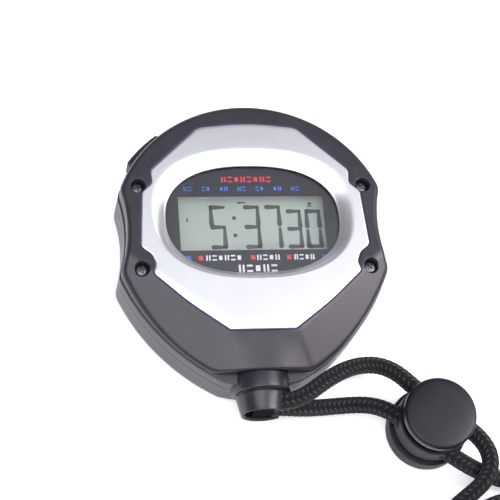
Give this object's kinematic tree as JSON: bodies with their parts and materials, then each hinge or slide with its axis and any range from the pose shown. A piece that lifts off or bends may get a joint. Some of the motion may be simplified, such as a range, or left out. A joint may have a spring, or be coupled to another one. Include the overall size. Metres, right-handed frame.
{
  "type": "digital stopwatch",
  "caption": "Round handheld digital stopwatch with push buttons, a sloped silver face round an oval lens, a braided neck cord and a sprung cord lock.",
  "frame": {"origin": "on the rear cover's flat rear face, midway between the four case screws", "axes": "+Z out of the display, +Y towards the mode button, +X to the right when reading the display"},
  "size_m": [0.1224, 0.1539, 0.019],
  "materials": {
    "case_black": "satin charcoal ABS with a fine sparkle",
    "face_silver": "satin silver paint",
    "lens_clear": "clear acrylic",
    "mask_black": "black print with small function marks",
    "lcd_grey": "grey-green reflective liquid crystal",
    "lcd_dark": "dark display segments",
    "frame_white": "white moulded plastic",
    "zebra_pink": "layered silicone rubber",
    "board_green": "green solder mask",
    "epoxy_black": "black epoxy",
    "tin_metal": "tinned steel",
    "brass": "bare brass",
    "cell_steel": "nickel-plated steel",
    "screw_black": "blackened steel",
    "button_black": "satin black ABS",
    "spring_steel": "spring steel wire",
    "post_black": "satin black ABS",
    "cord_black": "braided black nylon with grey-brown flecks",
    "tie_black": "black twist tie",
    "lock_black": "matte black moulded plastic"
  },
  "bodies": {
    "root": {"front_case": "case_black", "rear_cover": "case_black", "face_plate": "face_silver", "lens": "lens_clear", "lens_mask": "mask_black", "case_screws": "screw_black", "lcd_frame": "frame_white", "lcd_glass": "lcd_grey", "lcd_segments": "lcd_dark", "zebra_strips": "zebra_pink", "circuit_board": "board_green", "chip_blob": "epoxy_black", "quartz_crystal": "tin_metal", "smd_parts": "brass", "board_screws": "tin_metal", "key_contacts": "brass", "piezo_buzzer": "brass", "buzzer_spring": "spring_steel", "button_cell": "cell_steel", "cell_clip": "tin_metal", "cell_contact": "tin_metal", "start_spring": "spring_steel", "reset_spring": "spring_steel", "mode_spring": "spring_steel", "lanyard_post": "post_black", "post_pin": "tin_metal", "cord_clamp": "post_black", "upper_strand": "cord_black", "lower_strand": "cord_black", "cord_coil": "cord_black", "coil_tie": "tie_black", "lock_barrel": "lock_black", "lock_spring": "spring_steel"},
    "start_button": {"start_button": "button_black"},
    "reset_button": {"reset_button": "button_black"},
    "mode_button": {"mode_button": "button_black"},
    "lock_plunger": {"lock_plunger": "lock_black"}
  },
  "joints": [
    {"name": "start_press", "type": "slide", "parent": "root", "child": "start_button", "axis": [-0.7071, -0.7071, 0], "range_m": [0, 0.001], "stiffness_N_per_m": 1200, "springref_m": -0.0008, "deforming": ["start_spring"]},
    {"name": "reset_press", "type": "slide", "parent": "root", "child": "reset_button", "axis": [0.7071, -0.7071, 0], "range_m": [0, 0.001], "stiffness_N_per_m": 1200, "springref_m": -0.0008, "deforming": ["reset_spring"]},
    {"name": "mode_press", "type": "slide", "parent": "root", "child": "mode_button", "axis": [0, -1, 0], "range_m": [0, 0.001], "stiffness_N_per_m": 1200, "springref_m": -0.0008, "deforming": ["mode_spring"]},
    {"name": "lock_press", "type": "slide", "parent": "root", "child": "lock_plunger", "axis": [0, 0, -1], "range_m": [0, 0.002], "stiffness_N_per_m": 900, "springref_m": -0.002, "deforming": ["lock_spring"]}
  ]
}
